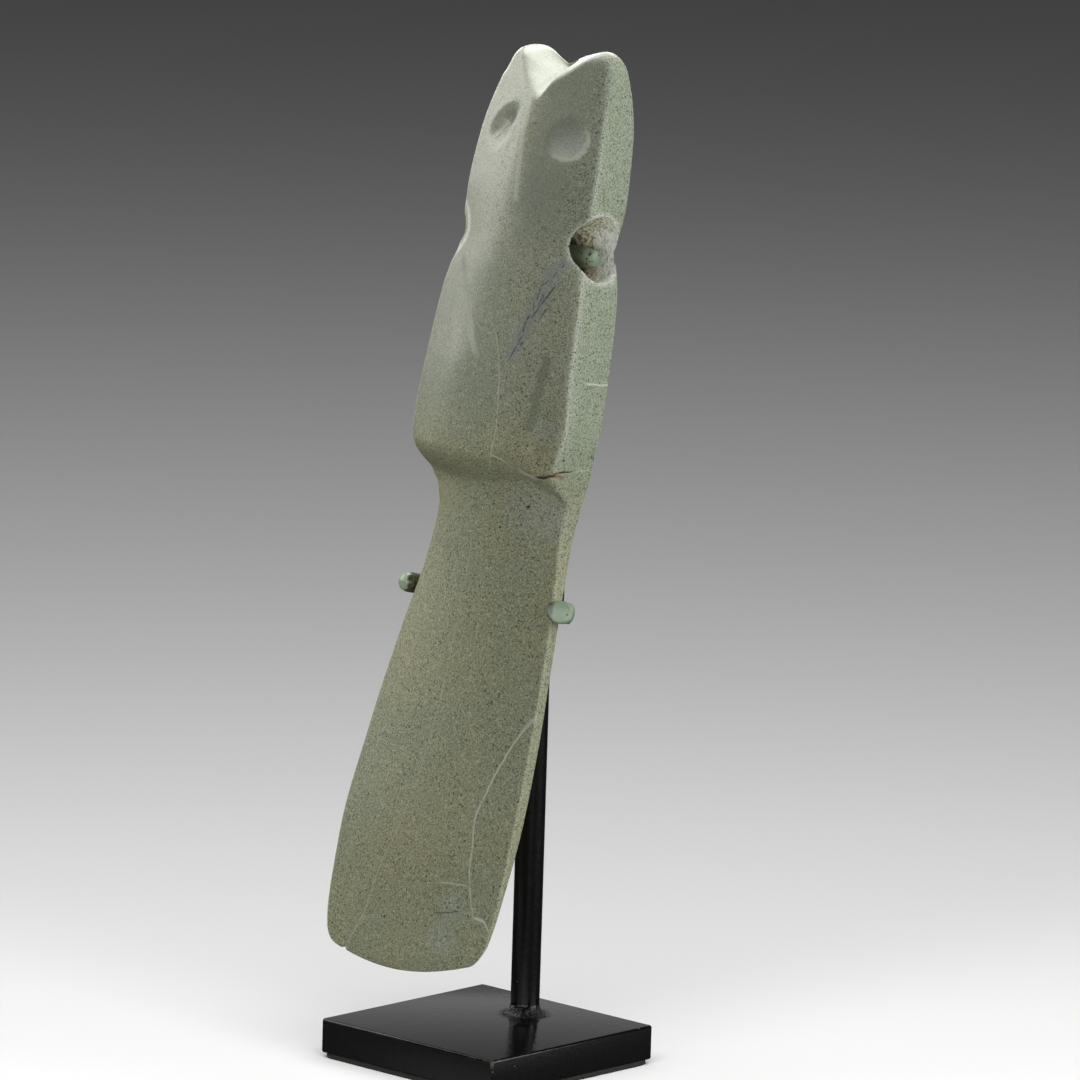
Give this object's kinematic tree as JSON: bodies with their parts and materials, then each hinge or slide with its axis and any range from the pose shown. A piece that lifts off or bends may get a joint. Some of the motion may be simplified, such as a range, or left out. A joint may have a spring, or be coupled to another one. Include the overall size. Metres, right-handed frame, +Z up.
{
  "type": "jade axe pendant",
  "caption": "Carved jade celt pendant with a bird's head, folded wings and a plain blade, held upright on a bent-wire display stand with a square base.",
  "frame": {"origin": "centre of the stand's underside", "axes": "+Z up along the post, the carved face looks toward -Y, +X is to the right as seen from the front"},
  "size_m": [0.0382, 0.0407, 0.165],
  "materials": {
    "jade": "satin polish, speckled grey-green",
    "black_paint": "satin black paint",
    "green_paint": "matched mint green at the tips, black behind",
    "felt": "dark felt"
  },
  "bodies": {
    "root": {"jade_pendant": "jade", "stand_base": "black_paint", "base_pad": "felt", "stand_post": "black_paint", "claw_wire": "green_paint", "peg_wire": "green_paint"}
  },
  "joints": []
}
